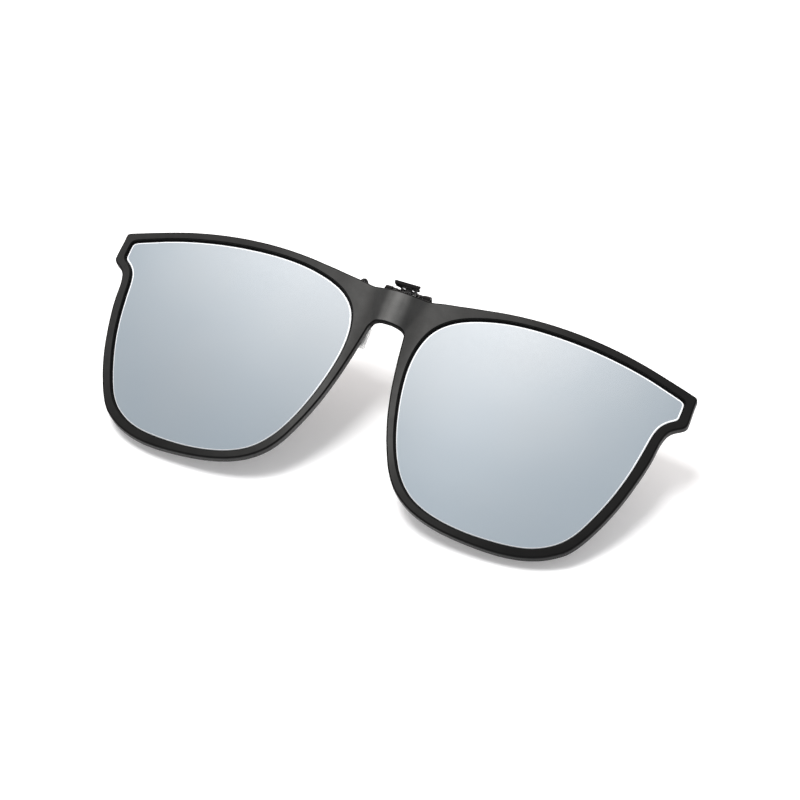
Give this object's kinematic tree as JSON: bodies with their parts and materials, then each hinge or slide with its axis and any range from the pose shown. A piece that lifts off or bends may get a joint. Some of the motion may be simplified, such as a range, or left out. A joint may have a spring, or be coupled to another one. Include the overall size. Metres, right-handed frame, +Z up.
{
  "type": "clip-on sunglasses",
  "caption": "Flip-up clip-on sunglasses: one-piece moulded front with arched bridge, mirror-coated lenses, and a sprung clip that grips the wearer's own glasses.",
  "frame": {"origin": "middle of the space between the clip's jaws, where the bridge of the wearer's own glasses is gripped", "axes": "+X across the width, to the right seen from the front; +Y back towards the wearer's face; +Z up as worn"},
  "size_m": [0.1494, 0.0132, 0.0593],
  "materials": {
    "frame_plastic": "satin black moulded nylon",
    "lens": "silver-blue mirror coat on polarised sheet",
    "clip_metal": "gloss black plated steel",
    "spring_steel": "dark oiled spring wire",
    "silicone": "translucent grey silicone",
    "nylon": "black nylon washer"
  },
  "bodies": {
    "clip": {"front_jaw": "clip_metal", "bridge_pad": "silicone", "hinge_pin": "clip_metal", "friction_washer_right": "nylon", "friction_washer_left": "nylon", "front_claw_wire_right": "clip_metal", "front_claw_sleeve_right": "silicone", "front_claw_wire_left": "clip_metal", "front_claw_sleeve_left": "silicone", "torsion_spring": "spring_steel"},
    "front": {"front_frame": "frame_plastic", "lens_right": "lens", "lens_left": "lens", "hinge_bracket": "clip_metal", "bracket_screw_right": "clip_metal", "bracket_screw_left": "clip_metal"},
    "jaw": {"rear_jaw": "clip_metal", "rear_claw_wire_right": "clip_metal", "rear_claw_sleeve_right": "silicone", "rear_claw_wire_left": "clip_metal", "rear_claw_sleeve_left": "silicone"}
  },
  "joints": [
    {"name": "flip_up", "type": "hinge", "parent": "clip", "child": "front", "pos_m": [0, -0.0014, 0.006], "axis": [-1, 0, 0], "range_deg": [0, 90]},
    {"name": "clip_squeeze", "type": "hinge", "parent": "clip", "child": "jaw", "pos_m": [0, -0.0014, 0.006], "axis": [1, 0, 0], "range_deg": [0, 20], "stiffness_Nm_per_rad": 0.06, "springref_deg": -20.05, "deforming": ["torsion_spring"]}
  ]
}
